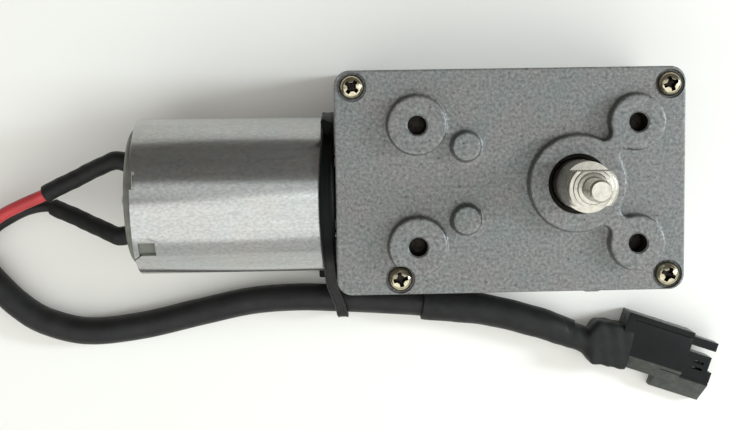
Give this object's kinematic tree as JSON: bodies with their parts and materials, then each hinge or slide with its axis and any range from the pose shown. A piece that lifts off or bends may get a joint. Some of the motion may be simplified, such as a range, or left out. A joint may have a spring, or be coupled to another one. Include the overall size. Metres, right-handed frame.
{
  "type": "geared dc motor",
  "caption": "Right-angle worm-gear dc motor: die-cast gearbox with tapped bosses, flatted output shaft, motor on the side, and a lead with a connector.",
  "frame": {"origin": "on the gearbox's back face, under the centre of the output shaft", "axes": "+Z along the output shaft, away from the gearbox; -X towards the motor; +Y across the gearbox, away from the lead"},
  "size_m": [0.153, 0.0692, 0.051],
  "materials": {
    "cast_zinc": "as-cast, mottled grey",
    "nickel": "bright nickel plate",
    "steel": "plain steel",
    "zinc_plate": "satin zinc plate",
    "brass": "plain brass",
    "bronze": "sintered bronze",
    "copper": "copper",
    "gear_plastic": "natural acetal",
    "ferrite": "sintered ferrite and carbon",
    "end_plastic": "moulded grey-green plastic",
    "black_plastic": "moulded black nylon",
    "black_rubber": "black cable sheath and heat-shrink",
    "red_rubber": "red wire insulation"
  },
  "bodies": {
    "housing": {"gearbox_body": "cast_zinc", "front_cover": "cast_zinc", "cover_screw_1": "nickel", "cover_screw_2": "nickel", "cover_screw_3": "nickel", "cover_screw_4": "nickel", "front_bush": "bronze", "rear_bush": "bronze", "bearing_plate": "steel", "plate_screw_1": "nickel", "plate_screw_2": "nickel", "plate_screw_3": "nickel", "plate_screw_4": "nickel", "axle_1": "steel", "axle_2": "steel", "worm_end_bush": "bronze", "motor_can": "zinc_plate", "flux_ring": "zinc_plate", "motor_end_cap": "end_plastic", "magnet_upper": "ferrite", "magnet_lower": "ferrite", "brush_1": "ferrite", "brush_2": "ferrite", "terminal_1": "brass", "terminal_2": "brass", "motor_front_bearing": "bronze", "motor_rear_bearing": "bronze", "motor_screw_1": "nickel", "motor_screw_2": "nickel", "cable_tie": "black_plastic", "red_heat_shrink": "black_rubber", "red_wire": "red_rubber", "black_heat_shrink": "black_rubber", "black_wire": "black_rubber", "cable_sheath": "black_rubber", "cable_sleeve": "black_rubber", "connector_boot": "black_rubber", "connector_housing": "black_plastic", "connector_contact_1": "brass", "connector_contact_2": "brass"},
    "output": {"output_shaft": "nickel", "output_gear": "steel", "shaft_collar": "steel", "thrust_washer": "brass"},
    "stage_2": {"gear_2": "gear_plastic", "pinion_2": "steel"},
    "stage_1": {"worm_wheel": "brass", "pinion_1": "steel"},
    "rotor": {"motor_shaft": "steel", "worm": "steel", "armature_core": "steel", "front_winding": "copper", "rear_winding": "copper", "commutator": "copper"}
  },
  "joints": [
    {"name": "output_spin", "type": "hinge", "parent": "housing", "child": "output", "pos_m": [0, 0, 0.02], "axis": [0, 0, 1], "continuous": true},
    {"name": "stage_2_spin", "type": "hinge", "parent": "housing", "child": "stage_2", "pos_m": [-0.02015, -0.00635, 0.022], "axis": [0, 0, 1], "continuous": true},
    {"name": "stage_1_spin", "type": "hinge", "parent": "housing", "child": "stage_1", "pos_m": [-0.02015, 0.007, 0.0155], "axis": [0, 0, 1], "continuous": true},
    {"name": "rotor_spin", "type": "hinge", "parent": "housing", "child": "rotor", "pos_m": [-0.05, -0.0022, 0.0155], "axis": [1, 0, 0], "continuous": true}
  ],
  "couplings": [
    {"joint": "rotor_spin", "follows": "output_spin", "ratio": -272.62},
    {"joint": "stage_1_spin", "follows": "output_spin", "ratio": 12.982},
    {"joint": "stage_2_spin", "follows": "output_spin", "ratio": -3.8182}
  ]
}
